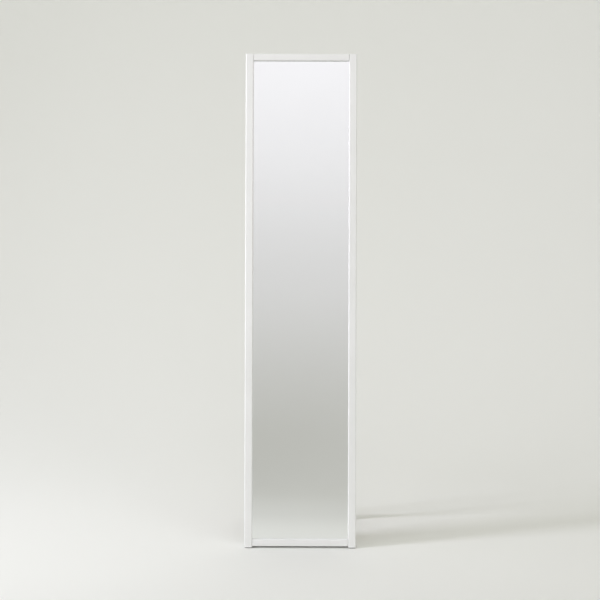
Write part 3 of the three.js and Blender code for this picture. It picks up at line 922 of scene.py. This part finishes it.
PAPER = (0.800, 0.808, 0.775)
FLOOR_FALLOFF_SHADE = 0.86                       # painted shade: the floor's colour is scaled down to this well in front of the mirror, standing in for light falling off there
PAINTED_SCRIM_GLOW = [(0.0, 0.05), (0.25, 0.09), (0.53, 0.165), (0.92, 0.28), (1.33, 0.40), (1.76, 0.50), (2.19, 0.61), (2.7, 0.74), (3.33, 0.87), (3.6, 0.91)]  # height, painted glow of the front wall (emission in the paper, standing in for a lit scrim)
PAINTED_SCRIM_COLOR = (1.03, 1.0, 1.12)
PAINTED_SCRIM_GAIN = 0.66


def bowl_material():
    m, nt, b = new_material("backdrop_paper_with_painted_light")
    geo = nt.nodes.new("ShaderNodeTexCoord")
    sep = nt.nodes.new("ShaderNodeSeparateXYZ")
    nt.links.new(geo.outputs["Object"], sep.inputs["Vector"])
    # painted shade: the floor's colour darkens well in front of the mirror, for light falling off there
    painted_floor_shade = smooth_step(nt, sep.outputs["Y"], -1.35, -0.3, FLOOR_FALLOFF_SHADE, 1.0)
    noise = node(nt, "ShaderNodeTexNoise", Scale=1.1, Detail=2.0)
    nt.links.new(geo.outputs["Object"], noise.inputs["Vector"])
    paper = ramp(nt, noise.outputs["Fac"], [(0.3, tuple(c * 0.996 for c in PAPER)), (0.7, PAPER)])
    mul = nt.nodes.new("ShaderNodeVectorMath")
    mul.operation = "SCALE"
    nt.links.new(paper, mul.inputs[0])
    nt.links.new(painted_floor_shade, mul.inputs["Scale"])
    nt.links.new(mul.outputs["Vector"], b.inputs["Base Color"])
    b.inputs["Roughness"].default_value = 0.9
    b.inputs["Specular IOR Level"].default_value = 0.15
    # painted glow: the paper of the wall in front of the mirror is given emission, more with height, standing in for a
    # lit scrim that the mirror shows
    front = smooth_step(nt, sep.outputs["Y"], -3.4, -2.2, 1.0, 0.0)
    glow = nt.nodes.new("ShaderNodeFloatCurve")
    top = PAINTED_SCRIM_GLOW[-1][0]
    curve = glow.mapping.curves[0]
    pts = [(h / top, g) for h, g in PAINTED_SCRIM_GLOW]
    curve.points[0].location = pts[0]
    curve.points[1].location = pts[-1]
    for p in pts[1:-1]:
        curve.points.new(*p)
    glow.mapping.update()
    hgt = nt.nodes.new("ShaderNodeMath")
    hgt.operation = "DIVIDE"
    nt.links.new(sep.outputs["Z"], hgt.inputs[0])
    hgt.inputs[1].default_value = top
    nt.links.new(hgt.outputs[0], glow.inputs["Value"])
    s = nt.nodes.new("ShaderNodeMath")
    s.operation = "MULTIPLY"
    nt.links.new(front, s.inputs[0])
    nt.links.new(glow.outputs[0], s.inputs[1])
    g = nt.nodes.new("ShaderNodeMath")
    g.operation = "MULTIPLY"
    g.inputs[1].default_value = PAINTED_SCRIM_GAIN
    nt.links.new(s.outputs[0], g.inputs[0])
    nt.links.new(g.outputs[0], b.inputs["Emission Strength"])
    b.inputs["Emission Color"].default_value = (*PAINTED_SCRIM_COLOR, 1)
    return m


stage_bowl = bowl()
stage_bowl.data.materials.append(bowl_material())


# ------------------------------------------------------------------ light
def area(name, location, target, size, power, color=(1, 1, 1), spread=180.0):
    d = bpy.data.lights.new(name, "AREA")
    d.shape = "RECTANGLE"
    d.size = size
    d.size_y = size
    d.spread = math.radians(spread)
    d.energy = power
    d.color = color
    o = bpy.data.objects.new(name, d)
    scene.collection.objects.link(o)
    o.location = location
    o.rotation_euler = (Vector(target) - Vector(location)).to_track_quat("-Z", "Y").to_euler()
    o.visible_camera = False
    o.visible_glossy = name == "key"  # the mirror shows the studio, and no lamp in it
    return o


# key: a softbox on the left, nearly in the plane of the mirror and high
KEY_AZ, KEY_EL, KEY_DIST, KEY_SIZE, KEY_POWER = 14.0, 28.0, 4.3, 0.62, 26.5
az, el = math.radians(KEY_AZ), math.radians(KEY_EL)
foot = Vector((0.0, 0.0, 0.2))
area(
    "key",
    foot + KEY_DIST * Vector((-math.cos(el) * math.cos(az), -math.cos(el) * math.sin(az), math.sin(el))),
    (0.0, 0.0, 0.7),
    KEY_SIZE,
    KEY_POWER,
    (0.96, 0.955, 1.10),
    100.0,
)
# a wide soft fill from the front right, a wash on the backdrop and soft lights from above
area("fill_right", (3.0, -2.8, 2.6), (0.0, 0.0, 0.7), 2.4, 15.0, (1.01, 1.0, 0.97))
area("wash", (-1.2, 1.0, 2.6), (-0.6, 3.3, 1.0), 0.8, 7.0, (0.98, 0.99, 1.06))
area("top", (0.4, 1.2, 3.4), (0.4, 1.2, 0.0), 2.0, 9.5, (1.01, 1.0, 0.97))
area("top_front", (0.0, -2.6, 3.6), (0.0, 0.0, 0.3), 1.4, 10.0, (1.01, 1.0, 0.97))
area("left_high", (-2.4, -1.4, 2.8), (0.0, 0.2, 0.6), 1.2, 9.0)
area("left_near", (-1.3, -1.0, 1.2), (0.0, 0.0, 0.8), 0.8, 2.0)

world = bpy.data.worlds.new("studio")
scene.world = world
world.use_nodes = True
wnt = world.node_tree
wnt.nodes.clear()
wout = wnt.nodes.new("ShaderNodeOutputWorld")
bg = wnt.nodes.new("ShaderNodeBackground")
bg.inputs["Color"].default_value = (1.02, 1.0, 0.92, 1)
bg.inputs["Strength"].default_value = 0.48
wnt.links.new(bg.outputs[0], wout.inputs[0])
